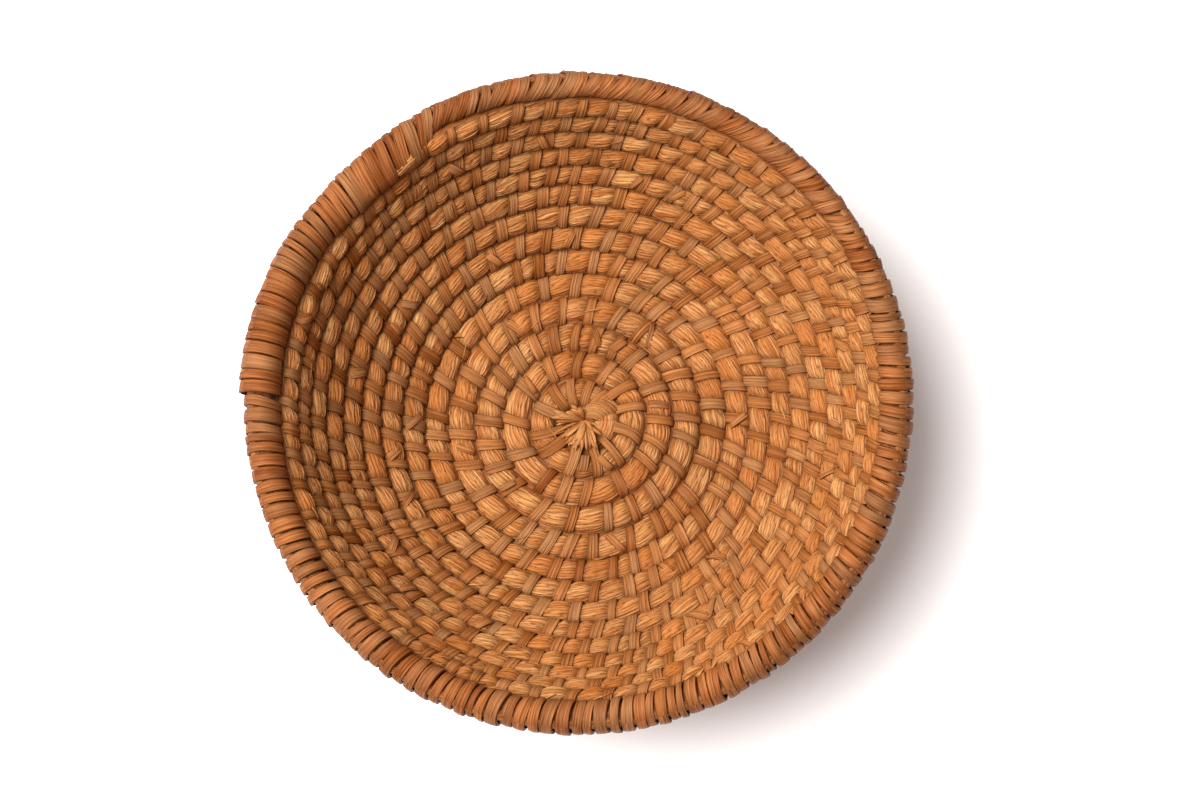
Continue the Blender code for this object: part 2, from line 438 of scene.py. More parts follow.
def ribbon_mesh(points, half, length, closed):
    """Quads, end triangles and fibre map of ribbons given as arrays of ribbon, step and crown point."""
    count, steps = points.shape[:2]
    runs = steps if closed else steps - 1
    j, c = np.meshgrid(np.arange(runs), np.arange(5), indexing="ij")
    next_j, next_c = (j + 1) % steps, (c + 1) % 5
    one = np.stack([j * 5 + c, j * 5 + next_c, next_j * 5 + next_c, next_j * 5 + c], -1).reshape(-1, 4)
    first = 5 * steps * np.arange(count)[:, None, None]
    quads = (one[None] + first).reshape(-1, 4)
    number = np.arange(count)[:, None, None]
    edge = np.append(CROWN_ACROSS, -1.0)
    v0 = edge[c] * half[:, j, None].reshape(count, runs, 5) + number * 0.0137
    v1 = edge[c + 1] * half[:, j, None].reshape(count, runs, 5) + number * 0.0137
    u0 = j / steps * length[:, None, None] + number * 0.071
    u1 = (j + 1) / steps * length[:, None, None] + number * 0.071
    uv = np.stack([np.stack(corner, -1) for corner in ((u0, v0), (u0, v1), (u1, v1), (u1, v0))], 3)
    triangles = None
    if not closed:
        last = 5 * (steps - 1)
        start = np.array([[2, 1, 0], [3, 2, 0], [4, 3, 0]])
        ends = np.concatenate([start, last + np.array([[0, 1, 2], [0, 2, 3], [0, 3, 4]])])
        triangles = (ends[None] + first).reshape(-1, 3)
    return quads, triangles, uv.reshape(-1, 2)


def sew(name, coil, stitches, chosen, skein, material, rng, proud=0.0, roll=(-0.16, 0.16),
        squareness=LAP_SQUARENESS, thick=1.0):
    """Bands sewn around the rope, each one closed loop.

    A band's centreline goes once around the rope's section, stretched towards the lap before and
    the next lap where it dips between their straws, and drifts along the rope by its slant times
    half the cosine of the angle.
    """
    angle = TURN * np.arange(BAND_STEPS) / BAND_STEPS
    laps, half, slant, inner, outer, below = (
        column[chosen][:, None] for column in
        (stitches.laps, stitches.half, stitches.slant, stitches.inner, stitches.outer, stitches.below))
    count = len(laps)
    bow = rng.uniform(-0.0006, 0.0006, (count, 1))
    along = -slant / 2 * np.cos(angle) + bow * np.sin(angle)
    place = laps + along / (TURN * coil.radius_at(laps))
    thickness = thick * skein.thickness * rng.uniform(0.85, 1.2, (count, 1))
    reach = rope_outline(angle, squareness)[None, :]
    size = coil.half_at(place) - BAND_SEAT + proud
    under = coil.half_at(place - 1)
    long = size + np.where(np.cos(angle) < 0, inner, outer) + below * under
    tall = np.maximum(size, below * under * 1.14)
    across = np.cos(angle) * reach * long - below * under
    above = np.sin(angle) * reach * tall
    out, inside = coil.axes(place)
    path = coil.middle(place) + across[..., None] * out + above[..., None] * inside
    forward = unit(np.roll(path, -1, axis=1) - np.roll(path, 1, axis=1))
    turn = TURN * place
    rope = np.stack([-np.sin(turn), np.cos(turn), np.zeros_like(turn)], -1)
    normal = unit(np.cross(rope, forward))
    waist = 1 + 0.06 * np.sin(angle * 2 + TURN * rng.random((count, 1)))
    tilt = rng.uniform(*roll, (count, 1))
    points = ribbon_points(path, forward, normal, half * waist, thickness, tilt)
    quads, _, uv = ribbon_mesh(points, half * waist, np.full(count, BAND_LENGTH), closed=True)
    band = 5 * BAND_STEPS
    # The last value paints shade and dirt where the band dips between two laps.
    values = {"tint": np.repeat(rng.random(count), band), "tone": np.repeat(rng.random(count), band),
              "edge": np.tile(np.abs(CROWN_ACROSS), BAND_STEPS * count),
              "hollow_shade_and_dirt": np.tile(np.repeat(np.abs(np.cos(angle)) ** 7, 5), count)}
    return make_piece(name, above_floor(points.reshape(-1, 3)), quads, uv, values, material,
                      sharp=CROWN_EDGE)


def lay_blades(name, path, up, half, thickness, material, rng, groove_shade=0.8):
    """Loose blades along given paths, thinned to a closed tip at both ends."""
    count, steps = path.shape[:2]
    forward = unit(np.gradient(path, axis=1))
    normal = unit(up - (up * forward).sum(-1, keepdims=True) * forward)
    tip = np.ones(steps)
    tip[[0, -1]], tip[[1, -2]] = 0.15, 0.85
    roll = rng.uniform(-0.3, 0.3, (count, 1)) * tip
    points = ribbon_points(path, forward, normal, half * tip, thickness * tip, roll)
    length = np.linalg.norm(np.diff(path, axis=1), axis=-1).sum(1)
    quads, triangles, uv = ribbon_mesh(points, half * tip, length, closed=False)
    band = 5 * steps
    # Painted shade darkens each blade towards its edges.
    values = {"tint": np.repeat(rng.uniform(0.3, 1.0, count), band),
              "tone": np.repeat(rng.random(count), band),
              "edge": np.tile(np.abs(CROWN_ACROSS), steps * count),
              "groove_shade": np.tile(groove_shade * CROWN_ACROSS ** 4, steps * count),
              "hollow_shade_and_dirt": np.zeros(count * band)}
    return make_piece(name, above_floor(points.reshape(-1, 3)), quads, uv, values, material,
                      triangles=triangles, sharp=CROWN_EDGE)


# ---- Straw ----

STRAW_EDGE = radians(75)
STRAW_SINK = 0.00095
STITCH_EDGE = 0.0020
PRESSED_STRAW = 0.00070


def section_angles():
    """Angles around the rope, close together on the faces that show and far apart between laps."""
    faces = ((14, 166, 42), (166, 194, 4), (194, 346, 30), (346, 374, 4))
    return np.concatenate([np.linspace(radians(start), radians(end), count, endpoint=False)
                           for start, end, count in faces])


def straw_relief(coil, straw, stitches, laps, angle):
    """Height of the straw's surface over the rope's outline, and its colour values.

    Between two stitches the straw swells: the product of two hyperbolic tangents of the distance
    to each. Straws are strips of a slanting count around the rope; the back of each is a power of
    a sine across it, and each strip in each window has its own height and shade. Where two laps
    touch, the straw of both is pressed together.
    """
    length = coil.length_at(laps)[:, None]
    slant = np.interp(laps, stitches.laps, stitches.slant)[:, None]
    flat = length + slant / 2 * np.cos(angle)
    window = np.searchsorted(stitches.lengths, flat)
    padded = np.concatenate([[stitches.lengths[0] - 0.02], stitches.lengths,
                             [stitches.lengths[-1] + 0.02]])
    halves = np.concatenate([[0.0025], stitches.half, [0.0025]])
    left = flat - padded[window] - halves[window] * 0.95
    right = padded[window + 1] - flat - halves[window + 1] * 0.95
    swell = (np.tanh(np.clip(left, 0, None) / STITCH_EDGE)
             * np.tanh(np.clip(right, 0, None) / STITCH_EDGE))
    open_face = 0.25 + 0.75 * np.sin(angle) ** 2
    rise = 0.00040 + straw.swell * (0.65 + 0.7 * chance(window, 3))
    height = -STRAW_SINK + rise * swell * open_face

    radius = coil.half_at(laps)[:, None]
    lay = np.tan(straw.lay) * (0.3 + 1.4 * chance(window, 5)) / radius
    around = straw.strands / TURN * (angle - lay * (length - padded[window]))
    around = around + 9 * chance(window, 11) + 0.60 * drift(angle * 2.1 + 50 * chance(window, 2), 4)
    around = around + 0.35 * drift(length * 160 + angle * 3, 9)
    strand = np.floor(around)
    across = np.abs(np.sin(pi * around))
    back = across ** 0.6
    proud = straw.uneven * (chance(strand, window, 1) - 0.45)
    broken = (chance(strand, window, 6) > 0.86) * straw.uneven * 0.9
    height = height + (back - 0.65) * straw.ridge * (0.25 + 0.75 * swell) * open_face
    height = height + (proud - broken) * back * swell * open_face
    height = height + 0.00012 * drift(length * 230 + strand * 7.7, 13) * back * open_face
    pressed = smooth_step(np.abs(np.cos(angle)), 0.86, 0.985)
    height = height + (PRESSED_STRAW - height) * pressed
    # Painted shade: the grooves between straws, and the hollows where the straw dips under a stitch or meets
    # the next lap, which also take dirt.
    groove_shade = (1 - across) ** 2.5
    hollow_shade_and_dirt = np.clip(0.9 * (1 - swell) ** 2 + np.abs(np.cos(angle)) ** 8, 0, 1)
    return height, {"tint": chance(strand, window, 8), "tone": chance(window, 12) + 0 * height,
                    "groove_shade": groove_shade, "hollow_shade_and_dirt": hollow_shade_and_dirt}


def closed_tube(name, points, uv, values, material):
    """A grid of rings along a path, joined around and closed at both ends by a fan to its middle."""
    rows, columns = points.shape[:2]
    quads = grid_faces(rows, columns)
    ring = np.arange(columns)
    after = (ring + 1) % columns
    base, top = rows * columns, rows * columns + 1
    last = base - columns
    caps = np.concatenate([np.stack([np.full(columns, base), ring, after], -1),
                           np.stack([np.full(columns, top), last + after, last + ring], -1)])
    corners = np.concatenate([points.reshape(-1, 3), points[0].mean(0)[None],
                              points[-1].mean(0)[None]])
    values = {key: np.append(column.ravel(), [0.5, 0.5]) for key, column in values.items()}
    return make_piece(name, above_floor(corners), quads, uv, values, material,
                      triangles=caps, sharp=STRAW_EDGE)


def lay_straw(name, shop, start, end, size=None, outer=None, step=0.0015, squareness=LAP_SQUARENESS):
    """A stretch of the straw rope: a grid along the coil and around its section, with closed ends."""
    coil = shop.coil
    first, last = coil.length_at(start), coil.length_at(end)
    laps = coil.lap_at(np.linspace(first, last, max(12, int((last - first) / step))))
    angle = section_angles()
    height, values = straw_relief(coil, shop.straw, shop.stitches, laps, angle[None, :])
    half = (coil.half_at(laps) if size is None else size(laps))[:, None]
    spread = 0.0 if outer is None else outer(laps)[:, None] * np.clip(np.cos(angle), 0, 1)
    reach = rope_outline(angle, squareness)[None, :] * half + height * np.minimum(1.0, half / 0.004)
    out, inside = coil.axes(laps)
    points = (coil.middle(laps)[:, None, :] + (np.cos(angle) * reach + spread)[..., None] * out[:, None, :]
              + (np.sin(angle) * reach)[..., None] * inside[:, None, :])
    rows, columns = reach.shape
    around = np.append(angle, angle[0] + TURN)[None, :] * np.ones((rows, 1))
    length = coil.length_at(laps)[:, None] * np.ones((1, columns + 1))
    uv = grid_uv(length, 0.006 * around - length * np.tan(shop.straw.lay))
    return closed_tube(name, points, uv, values, shop.straw_material)


def lay_bundle(name, path, radius, straw, strands, twist, material, seed):
    """A tied bundle of straws: a round tube along a path, its ridges turning slowly along it."""
    rows = len(path)
    angle = TURN * np.arange(64)[None, :] / 64
    forward = unit(np.gradient(path, axis=0))
    side = unit(np.cross(forward, np.array([0.0, 0.0, 1.0])))
    above = np.cross(side, forward)
    along = np.linspace(0, 1, rows)[:, None]
    around = strands * (angle / TURN + twist * along) + 0.5 * drift(angle * 2 + along * 2, seed)
    strand = np.floor(around) % strands
    back = np.abs(np.sin(pi * around)) ** 0.6
    reach = radius[:, None] + (back - 0.6) * straw.ridge * np.minimum(1, radius[:, None] / 0.003)
    proud = straw.uneven * (chance(strand, seed) - 0.4)
    reach = reach + proud * back * np.minimum(1, radius[:, None] / 0.004)
    points = (path[:, None, :] + (np.cos(angle) * reach)[..., None] * side[:, None, :]
              + (np.sin(angle) * reach)[..., None] * above[:, None, :])
    length = 0.016 * along * np.ones((1, 65))
    turned = np.append(angle, TURN)[None, :] + twist * TURN * along
    uv = grid_uv(length, 0.0065 * turned * np.ones((rows, 1)))
    # Painted shade between the straws, and painted shade and dirt towards both ends of the bundle.
    values = {"tint": chance(strand, seed, 2), "tone": 0.2 + 0 * reach, "groove_shade": (1 - back) ** 1.5,
              "hollow_shade_and_dirt": 0.25 * (1 - np.sin(pi * along)) + 0 * reach}
    return closed_tube(name, points, uv, values, material)


CENTRE_ARMS, CENTRE_TURNS = 26, 28
CENTRE_TOP, CENTRE_FALL, CENTRE_UNDER = 0.0098, 0.0035, 0.0008
CENTRE_RIDGE, CENTRE_UNEVEN = 0.0009, 0.0016


def lay_centre(name, middle, radius, material):
    """The crushed straw in the middle of the base: a low dome whose ridges swirl outwards.

    The height falls with the square of the radius; the ridges are a power of a sine of the angle
    plus the radius, as the arms of a spiral are. A flat underside closes it.
    """
    reach = radius * np.concatenate([np.linspace(0.02, 1.0, 22), np.linspace(0.98, 0.02, 5)])[:, None]
    top = (np.arange(27) < 22)[:, None]
    angle = TURN * np.arange(72)[None, :] / 72
    around = CENTRE_ARMS * (angle / TURN + CENTRE_TURNS * reach)
    around = around + 1.2 * drift(angle * 2.2 + reach * 300, 3)
    strand = np.floor(around) % CENTRE_ARMS
    back = np.abs(np.sin(pi * around)) ** 0.6
    rise = CENTRE_TOP - CENTRE_FALL * (reach / radius) ** 2 + CENTRE_RIDGE * (back - 0.5)
    rise = rise + CENTRE_UNEVEN * (chance(strand, 5) - 0.5)
    height = np.where(top, rise, CENTRE_UNDER) + 0 * angle
    points = np.stack([middle[0] + reach * np.cos(angle), middle[1] + reach * np.sin(angle),
                       height], -1)
    uv = grid_uv(reach * np.ones((1, 73)), 0.006 * (np.append(angle, TURN)[None, :] + 176 * reach))
    # Painted shade between the swirling ridges; the whole centre is darkened by one fixed share.
    values = {"tint": chance(strand, 6) + 0 * height, "tone": chance(strand, 7) + 0 * height,
              "groove_shade": np.clip((1 - back) * 1.2, 0, 1) + 0 * height, "hollow_shade_and_dirt": 0.55 + 0 * height}
    return closed_tube(name, points, uv, values, material)


# ---- Finishes ----

PATCHES = 0.22


def new_group(name, inputs, outputs):
    group = bpy.data.node_groups.new(name, "ShaderNodeTree")
    for label, kind, default in inputs:
        socket = group.interface.new_socket(name=label, in_out="INPUT", socket_type=f"NodeSocket{kind}")
        if default is not None:
            socket.default_value = default
    for label, kind in outputs:
        group.interface.new_socket(name=label, in_out="OUTPUT", socket_type=f"NodeSocket{kind}")
    return group, group.nodes.new("NodeGroupInput"), group.nodes.new("NodeGroupOutput")


def node(tree, kind, links=None, **settings):
    """A node with its settings; links maps an input to a socket or to a plain value."""
    made = tree.nodes.new(kind)
    for key, value in settings.items():
        setattr(made, key, value)
    for key, value in (links or {}).items():
        if isinstance(value, bpy.types.NodeSocket):
            tree.links.new(value, made.inputs[key])
        else:
            made.inputs[key].default_value = value
    return made


def ramp(tree, value, low, high, start=0.0, end=1.0):
    """Takes a value from the span low to high onto the span start to end."""
    spans = {0: value, 1: low, 2: high, 3: start, 4: end}
    return node(tree, "ShaderNodeMapRange", spans).outputs[0]


def blend_colour(tree, amount, first, second):
    """Goes from the first colour to the second as the amount goes from 0 to 1."""
    return node(tree, "ShaderNodeMix", {0: amount, 6: first, 7: second}, data_type="RGBA").outputs[2]


def mix_amount(tree, parts, offset=0.0):
    """Sum of sockets, each times its weight, plus an offset, kept from 0 to 1."""
    total = offset
    for index, (socket, weight) in enumerate(parts):
        made = node(tree, "ShaderNodeMath", {0: socket, 1: weight, 2: total}, operation="MULTIPLY_ADD",
                    use_clamp=index == len(parts) - 1)
        total = made.outputs[0]
    return total


def fibre_streaks():
    """Fine lines that run along a fibre: noise stretched along the map's first direction."""
    group, given, result = new_group(
        "fibre_streaks",
        [("Map", "Vector", None), ("Along", "Float", 60.0), ("Across", "Float", 2200.0)],
        [("Streak", "Float"), ("Fleck", "Float")])
    scale = node(group, "ShaderNodeCombineXYZ",
                 {0: given.outputs["Along"], 1: given.outputs["Across"], 2: 1.0})
    stretched = node(group, "ShaderNodeVectorMath", {0: given.outputs["Map"], 1: scale.outputs[0]},
                     operation="MULTIPLY")
    lines = node(group, "ShaderNodeTexNoise",
                 {"Vector": stretched.outputs[0], "Scale": 1.0, "Detail": 3.0, "Roughness": 0.6})
    wide = node(group, "ShaderNodeVectorMath", {0: stretched.outputs[0], 1: (2.2, 0.35, 1.0)},
                operation="MULTIPLY")
    flecks = node(group, "ShaderNodeTexNoise", {"Vector": wide.outputs[0], "Scale": 1.0, "Detail": 2.0})
    group.links.new(ramp(group, lines.outputs[0], 0.36, 0.66), result.inputs["Streak"])
    group.links.new(ramp(group, flecks.outputs[0], 0.35, 0.68), result.inputs["Fleck"])
    return group


def shade_and_dirt():
    """Paints shade into a colour in its hollows, together with dirt there, and darkens it in broad patches
    as handling and dust do.
    """
    group, given, result = new_group(
        "shade_and_dirt",
        [("Colour", "Color", None), ("Dirt_and_shade", "Color", None), ("Hollow_shade_and_dirt", "Float", 0.0),
         ("Depth", "Float", 0.6), ("Patches", "Float", 0.25)],
        [("Colour", "Color")])
    place = node(group, "ShaderNodeTexCoord")
    patch = node(group, "ShaderNodeTexNoise",
                 {"Vector": place.outputs["Object"], "Scale": 24.0, "Detail": 4.0, "Roughness": 0.62})
    patchy = ramp(group, patch.outputs[0], 0.44, 0.72)
    mask = mix_amount(group, ((given.outputs["Hollow_shade_and_dirt"], given.outputs["Depth"]),
                              (patchy, given.outputs["Patches"])))
    colour = blend_colour(group, mask, given.outputs["Colour"], given.outputs["Dirt_and_shade"])
    group.links.new(colour, result.inputs["Colour"])
    return group


def new_material(name, roughness, gloss=0.5):
    material = bpy.data.materials.new(name)
    material.use_nodes = True
    tree = material.node_tree
    shader = tree.nodes["Principled BSDF"]
    shader.inputs["Roughness"].default_value = roughness
    shader.inputs["Specular IOR Level"].default_value = gloss
    return material, tree, shader


def rgba(colour):
    return (*colour, 1.0)


def fibre_inputs(tree, groups, along, across, keys):
    """The fibre streaks over a piece's own map, and its point values by name."""
    fibres = node(tree, "ShaderNodeUVMap", uv_map="fibres")
    streaks = node(tree, "ShaderNodeGroup", {"Map": fibres.outputs[0], "Along": along, "Across": across},
                   node_tree=groups["fibre_streaks"])
    values = [node(tree, "ShaderNodeAttribute", attribute_name=key).outputs["Fac"] for key in keys]
    return streaks.outputs["Streak"], streaks.outputs["Fleck"], values


def finish_surface(tree, shader, groups, shade_and_dirt_inputs, streak, fleck, roughness, relief):
    """Paints shade and dirt into a colour, and sets roughness and relief from the fibre streaks."""
    shaded_and_dirty = node(tree, "ShaderNodeGroup", {**shade_and_dirt_inputs, "Patches": PATCHES},
                node_tree=groups["shade_and_dirt"])
    tree.links.new(shaded_and_dirty.outputs["Colour"], shader.inputs["Base Color"])
    tree.links.new(ramp(tree, fleck, 0.0, 1.0, *roughness), shader.inputs["Roughness"])
    bump = node(tree, "ShaderNodeBump", {"Strength": 1.0, "Distance": relief, "Height": streak})
    tree.links.new(bump.outputs[0], shader.inputs["Normal"])


def straw_finish(finish, groups):
    """Glossy straw: each straw has its own shade, fine lines along it and painted shade in the grooves
    beside it.
    """
    material, tree, shader = new_material("straw", 0.45, 0.14)
    streak, fleck, (tint, tone, groove_shade, hollow_shade_and_dirt) = fibre_inputs(
        tree, groups, 45.0, 1400.0, ("tint", "tone", "groove_shade", "hollow_shade_and_dirt"))
    dirt_and_shade = rgba(finish.dirt_and_shade)
    shade = mix_amount(tree, ((tint, 0.55), (streak, 0.72), (fleck, 0.26)), -0.24)
    colour = blend_colour(tree, shade, rgba(finish.straw_dark), rgba(finish.straw_light))
    redder = mix_amount(tree, ((tone, 1.0),), -0.30)
    colour = blend_colour(tree, redder, colour, rgba(finish.straw_red))
    # Painted shade in the grooves between the straws; the group below paints shade and dirt into the
    # hollows.
    colour = blend_colour(tree, mix_amount(tree, ((groove_shade, 0.88),)), colour, dirt_and_shade)
    shade_and_dirt_inputs = {"Colour": colour, "Dirt_and_shade": dirt_and_shade, "Hollow_shade_and_dirt": hollow_shade_and_dirt, "Depth": 0.50}
    finish_surface(tree, shader, groups, shade_and_dirt_inputs, streak, fleck, roughness=(0.36, 0.60), relief=0.00050)
    return material


def skein_finish(name, finish, groups, light, dark):
    """Split skein: fine lines along the strip, each strip its own shade, and painted shade along its edges.
    """
    material, tree, shader = new_material(name, 0.5, 0.08)
    streak, fleck, (tint, tone, edge, hollow_shade_and_dirt) = fibre_inputs(
        tree, groups, 24.0, 850.0, ("tint", "tone", "edge", "hollow_shade_and_dirt"))
    dirt_and_shade = rgba(finish.dirt_and_shade)
    shade = mix_amount(tree, ((tint, 0.42), (streak, 0.66), (fleck, 0.28)), -0.16)
    colour = blend_colour(tree, shade, rgba(dark), rgba(light))
    bloom = mix_amount(tree, ((tone, 0.75), (fleck, 0.25)), -0.42)
    colour = blend_colour(tree, bloom, colour, rgba(finish.skein_bloom))
    # Painted shade: dark lines along each skein's edges, and painted shade with dirt where it dips between
    # laps.
    colour = blend_colour(tree, ramp(tree, edge, 0.74, 1.0, 0.0, 0.85), colour, dirt_and_shade)
    shade_and_dirt_inputs = {"Colour": colour, "Dirt_and_shade": dirt_and_shade, "Hollow_shade_and_dirt": hollow_shade_and_dirt, "Depth": 0.32}
    finish_surface(tree, shader, groups, shade_and_dirt_inputs, streak, fleck, roughness=(0.38, 0.58), relief=0.00070)
    return material


class Workshop:
    """What the operators share: the coil, the stitches, the wraps and the finishes, made once."""

    made = None

    @classmethod
    def get(cls):
        if cls.made is None:
            cls.made = cls()
        return cls.made

    def __init__(self):
        scene = bpy.context.scene
        self.rope, self.straw, self.skein = scene.basket_rope, scene.basket_straw, scene.basket_skein
        self.coil = Coil(self.rope)
        self.stitches = Stitches(self.coil, self.skein)
        self.wraps = RimWraps(self.coil, self.skein)
        groups = {"fibre_streaks": fibre_streaks(), "shade_and_dirt": shade_and_dirt()}
        finish = scene.basket_finish
        self.straw_material = straw_finish(finish, groups)
        self.skein_material = skein_finish("split_skein", finish, groups, finish.skein_light,
                                           finish.skein_dark)
        self.rim_material = skein_finish("rim_skein", finish, groups, finish.rim_light,
                                         finish.rim_dark)

    def lap_span(self, number):
        """Start and end of a numbered lap piece, in laps."""
        return (ROPE_START if number == 1 else RIM_START - len(LAPS) + number - 1,
                RIM_START - len(LAPS) + number)

    def swirl(self):
        """The point that the coil winds around, on the basket's own axes."""
        return np.array([0.0014, 0.0007]) - self.coil.centre


# ---- Operators ----

class BASKET_OT_straw_laps(bpy.types.Operator):
    """Lays the straw rope, lap by lap, and the straw inside the rim"""

    bl_idname = "basket.straw_laps"
    bl_label = "Straw laps"

    UNDER_WRAPS = (RIM_START + 0.002, RIM_START + 0.042)
    DRAWN_SHARE, DRAWN_IN = 0.07, 0.0008

    def execute(self, context):
        shop = Workshop.get()
        for number, name in enumerate(LAPS, start=1):
            start, end = shop.lap_span(number)
            lap = lay_straw(f"straw_rope_{name}", shop, start, end)
            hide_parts(f"straw_lap_{name}")
            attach(lap, BODY)

        def under_wraps(laps):
            drawn = smooth_step(laps, *self.UNDER_WRAPS)
            return (1 - self.DRAWN_SHARE * drawn) * shop.coil.half_at(laps) - self.DRAWN_IN * drawn

        rim = lay_straw("straw_rope_rim", shop, RIM_START, RIM_END, size=under_wraps,
                        squareness=RIM_SQUARENESS)
        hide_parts("rim_straw")
        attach(rim, BODY)
        return {"FINISHED"}


class BASKET_OT_starting_knot(bpy.types.Operator):
    """Curls the bunched start of the straw into the middle of the base"""

    bl_idname = "basket.starting_knot"
    bl_label = "Starting knot"

    CENTRE_RADIUS = 0.0125
    FOLD_START, FOLD_END = ((0.0010, 0.0002), 0.0080), ((0.0182, 0.0042), 0.0070)
    FOLD_BOW = (-0.0012, 0.0022, 0.0016)

    def execute(self, context):
        shop = Workshop.get()
        coil, swirl = shop.coil, shop.swirl()

        def size(laps):
            return np.minimum(coil.half_at(laps), KNOT_FILL * coil.radius_at(laps)) - 0.0004

        def outer(laps):
            next_lap = coil.radius_at(laps + 1) - coil.half_at(laps + 1)
            gap = next_lap - coil.radius_at(laps) - size(laps)
            return np.clip(gap, 0.0, 0.006) + 0.0005

        knot = lay_straw("starting_knot_straw", shop, KNOT_START, ROPE_START, size=size, outer=outer,
                         step=0.0008)
        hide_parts("starting_knot")
        middle = lay_centre("centre_straw", swirl, self.CENTRE_RADIUS, shop.straw_material)
        t = np.linspace(0, 1, 40)[:, None]
        start, end = (np.array([*(swirl + across), height])
                      for across, height in (self.FOLD_START, self.FOLD_END))
        path = start + (end - start) * t + np.array(self.FOLD_BOW) * np.sin(pi * t)
        bulge = 0.0012 + 0.0050 * np.sin(pi * t[:, 0] ** 0.85) ** 0.6
        bun = lay_bundle("folded_end", path, bulge, shop.straw, 19, 0.55, shop.straw_material, 31)
        for piece in (knot, middle, bun):
            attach(piece, BODY)
        return {"FINISHED"}


class BASKET_OT_loose_straw(bpy.types.Operator):
    """Spreads the loose ends: the tuft in the middle, spliced skeins and frayed straw"""

    bl_idname = "basket.loose_straw"
    bl_label = "Loose straw"

    def execute(self, context):
        shop = Workshop.get()
        for piece in (self.tuft(shop), self.splices(shop), self.fray(shop)):
            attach(piece, BODY)
        return {"FINISHED"}

    def tuft(self, shop):
        """Blades that leave the middle in a fan, rise over a sine's half wave and come to rest."""
        rng = np.random.default_rng(5)
        heading = np.radians(np.concatenate([rng.normal(264, 25, 30), rng.normal(186, 11, 11),
                                             rng.uniform(110, 160, 5), rng.uniform(300, 330, 5)]))
        count = len(heading)
        length = np.concatenate([rng.uniform(0.0100, 0.0150, 30), rng.uniform(0.010, 0.0170, 11),
                                 rng.uniform(0.004, 0.008, 10)])
        t = np.linspace(0, 1, 8)[None, :]
        bend = rng.uniform(-0.25, 0.25, (count, 1)) * t
        away = length[:, None] * t + rng.uniform(0, 0.002, (count, 1))
        rise = 0.0098 + rng.uniform(-0.0012, 0.0026, (count, 1)) * np.sin(pi * t * 0.8)
        rise = rise + 0.0032 * np.sin(pi * t * 0.62)
        middle = shop.swirl()
        path = np.stack([middle[0] + away * np.cos(heading[:, None] + bend),
                         middle[1] + away * np.sin(heading[:, None] + bend), rise], -1)
        up = np.zeros_like(path) + np.array([0.0, 0.0, 1.0])
        half = rng.uniform(0.0006, 0.0013, (count, 1))
        return lay_blades("centre_tuft", path, up, half, half * 0.7, shop.straw_material, rng)

    def along_rope(self, coil, laps, length, start, end, lift):
        """Paths over the rope's surface: along by a length, around from one angle to another."""
        t = np.linspace(0, 1, lift.shape[1])[None, :]
        turn = TURN * coil.radius_at(laps)[:, None]
        place = laps[:, None] + (t - 0.5) * length[:, None] / turn
        angle = start[:, None] + (end - start)[:, None] * t
        size = coil.half_at(place) * rope_outline(angle) + lift
        out, inside = coil.axes(place)
        up = np.cos(angle)[..., None] * out + np.sin(angle)[..., None] * inside
        return coil.middle(place) + size[..., None] * up, up

    def splices(self, shop):
        """Short ends of skein that cross the straw where one skein was laid in after another."""
        rng = np.random.default_rng(23)
        count, t = 44, np.linspace(0, 1, 9)[None, :]
        laps = rng.uniform(1.6, 14.2, count)
        crossing = rng.choice([-1.0, 1.0], count) * rng.uniform(0.003, 0.010, count)
        lift = 0.00055 - 0.0024 * np.abs(2 * t - 1) ** 3 + rng.uniform(-0.0001, 0.0002, (count, 1))
        path, up = self.along_rope(shop.coil, laps, crossing, np.radians(rng.uniform(20, 50, count)),
                                   np.radians(rng.uniform(125, 160, count)), lift)
        half = rng.uniform(0.0014, 0.0024, (count, 1))
        return lay_blades("spliced_skeins", path, up, half, 0.0005, shop.skein_material,
                          rng)

    def fray(self, shop):
        """Single straws that have worked loose between the stitches and along the rim's inner edge."""
        rng = np.random.default_rng(29)
        inner, edge = 30, 70
        count, t = inner + edge, np.linspace(0, 1, 7)[None, :]
        laps = np.concatenate([rng.uniform(1.2, 14.3, inner), rng.uniform(13.60, 14.04, edge)])
        start = np.radians(np.concatenate([rng.uniform(30, 130, inner), rng.uniform(0, 35, edge)]))
        turn = np.radians(np.concatenate([rng.uniform(10, 50, inner), rng.uniform(-10, 35, edge)]))
        length = np.concatenate([rng.uniform(0.006, 0.013, inner), rng.uniform(0.004, 0.009, edge)])
        lift = rng.uniform(0.0, 0.0011, (count, 1)) * np.sin(pi * t) ** 0.7 + 0.0002
        lift = lift - 0.0012 * np.abs(2 * t - 1) ** 5 * rng.uniform(0, 1.5, (count, 1))
        path, up = self.along_rope(shop.coil, laps, length, start, start + turn, lift)
        half = rng.uniform(0.00020, 0.00042, (count, 1))
        return lay_blades("frayed_straw", path, up, half, half * 0.8, shop.straw_material, rng)


class BASKET_OT_stitches(bpy.types.Operator):
    """Sews the skeins around each lap of the rope"""

    bl_idname = "basket.stitches"
    bl_label = "Stitches"

    def execute(self, context):
        shop = Workshop.get()
        for number, name in enumerate(LAPS, start=1):
            start, end = shop.lap_span(number)
            chosen = (shop.stitches.laps >= start) & (shop.stitches.laps < end)
            lap = sew(f"stitches_{name}", shop.coil, shop.stitches, chosen, shop.skein,
                      shop.skein_material, np.random.default_rng(100 + number))
            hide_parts(f"binding_lap_{name}")
            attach(lap, BODY)
        return {"FINISHED"}


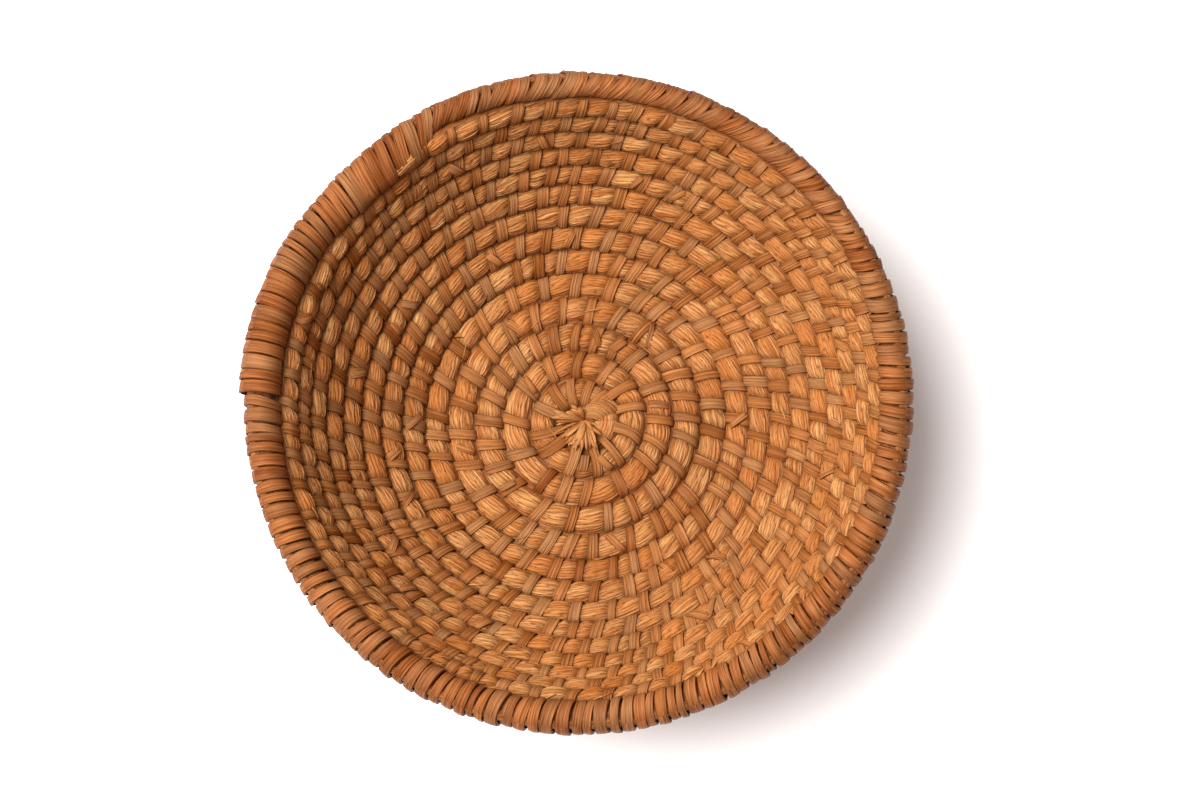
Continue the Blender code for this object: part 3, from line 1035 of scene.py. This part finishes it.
class BASKET_OT_rim_lashing(bpy.types.Operator):
    """Winds the lashing closely around the rim"""

    bl_idname = "basket.rim_lashing"
    bl_label = "Rim lashing"

    def execute(self, context):
        shop = Workshop.get()
        chosen = np.ones(len(shop.wraps.laps), bool)
        rng = np.random.default_rng(41)
        lashing = sew("rim_wraps", shop.coil, shop.wraps, chosen, shop.skein, shop.rim_material, rng,
                      proud=rng.uniform(-0.0006, 0.0002, (len(chosen), 1)), roll=(-0.05, 0.45),
                      squareness=RIM_SQUARENESS, thick=1.4)
        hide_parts("rim_lashing")
        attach(lashing, BODY)
        return {"FINISHED"}


class BASKET_OT_stage(bpy.types.Operator):
    """Sets up the pale floor, the soft lights and the camera"""

    bl_idname = "basket.stage"
    bl_label = "Stage"

    FLOOR_SIDE, FLOOR_DROP = 6.0, 0.00002
    FLOOR_COLOUR = (0.92, 0.90, 0.90, 1.0)
    AIM_X, AIM_Y, AIM_DEPTH = 0.0121, -0.0006, 0.013
    KEY_SIZE, KEY_PLACE = 2.0, (-1.05, 0.21, 1.90)
    FILL_COLOUR = (1.0, 0.91, 0.87, 1.0)

    def execute(self, context):
        studio = context.scene.basket_studio
        low, high = CAD_BOX
        self.add_floor(low.z - self.FLOOR_DROP)
        self.add_camera(studio, high.z)
        self.add_lights(studio, context.scene)
        context.scene.view_settings.view_transform = "Standard"
        return {"FINISHED"}

    def add_floor(self, height):
        mesh = bpy.data.meshes.new("floor")
        mesh.from_pydata([(self.FLOOR_SIDE * x, self.FLOOR_SIDE * y, height)
                          for x, y in ((-1, -1), (1, -1), (1, 1), (-1, 1))], [], [(0, 1, 2, 3)])
        material, _, shader = new_material("paper_floor", 0.8)
        shader.inputs["Base Color"].default_value = self.FLOOR_COLOUR
        mesh.materials.append(material)
        floor = put_in_scene(bpy.data.objects.new("floor", mesh))

    def add_camera(self, studio, top):
        camera = bpy.data.cameras.new("camera")
        camera.sensor_width = 36.0
        camera.lens = 36.0 * studio.distance / studio.view_width
        placed = put_in_scene(bpy.data.objects.new("camera", camera))
        aim = Vector((self.AIM_X, self.AIM_Y, top - self.AIM_DEPTH))
        back = Vector((0.0, -sin(studio.tilt), cos(studio.tilt)))
        placed.location = aim + back * studio.distance
        placed.rotation_euler = (-back).to_track_quat("-Z", "Y").to_euler()
        bpy.context.scene.camera = placed

    def add_lights(self, studio, scene):
        key = bpy.data.lights.new("key", "AREA")
        key.shape = "DISK"
        key.size = self.KEY_SIZE
        key.energy = studio.key_power
        placed = put_in_scene(bpy.data.objects.new("key", key))
        placed.location = Vector(self.KEY_PLACE)
        placed.rotation_euler = (-placed.location).to_track_quat("-Z", "Y").to_euler()
        world = bpy.data.worlds.new("studio")
        world.use_nodes = True
        background = world.node_tree.nodes["Background"]
        background.inputs["Color"].default_value = self.FILL_COLOUR
        background.inputs["Strength"].default_value = studio.fill
        scene.world = world


class BASKET_PT_panel(bpy.types.Panel):
    """Lists the steps that build the basket"""

    bl_idname = "BASKET_PT_panel"
    bl_label = "Coiled straw basket"
    bl_space_type = "VIEW_3D"
    bl_region_type = "UI"
    bl_category = "Basket"

    def draw(self, context):
        for step in STEPS:
            self.layout.operator(step.bl_idname)


GROUPS = {"basket_rope": RopeShape, "basket_straw": StrawShape, "basket_skein": SkeinShape,
          "basket_finish": Finish, "basket_studio": Studio}
STEPS = (BASKET_OT_straw_laps, BASKET_OT_starting_knot, BASKET_OT_stitches, BASKET_OT_rim_lashing,
         BASKET_OT_loose_straw, BASKET_OT_stage)
KINDS = (*GROUPS.values(), *STEPS, BASKET_PT_panel)


def register():
    for kind in KINDS:
        bpy.utils.register_class(kind)
    for name, group in GROUPS.items():
        setattr(bpy.types.Scene, name, PointerProperty(type=group))


def unregister():
    for name in GROUPS:
        delattr(bpy.types.Scene, name)
    for kind in reversed(KINDS):
        bpy.utils.unregister_class(kind)


def main():
    register()
    bpy.ops.basket.straw_laps()
    bpy.ops.basket.starting_knot()
    bpy.ops.basket.stitches()
    bpy.ops.basket.rim_lashing()
    bpy.ops.basket.loose_straw()
    bpy.ops.basket.stage()


if __name__ == "__main__":
    main()
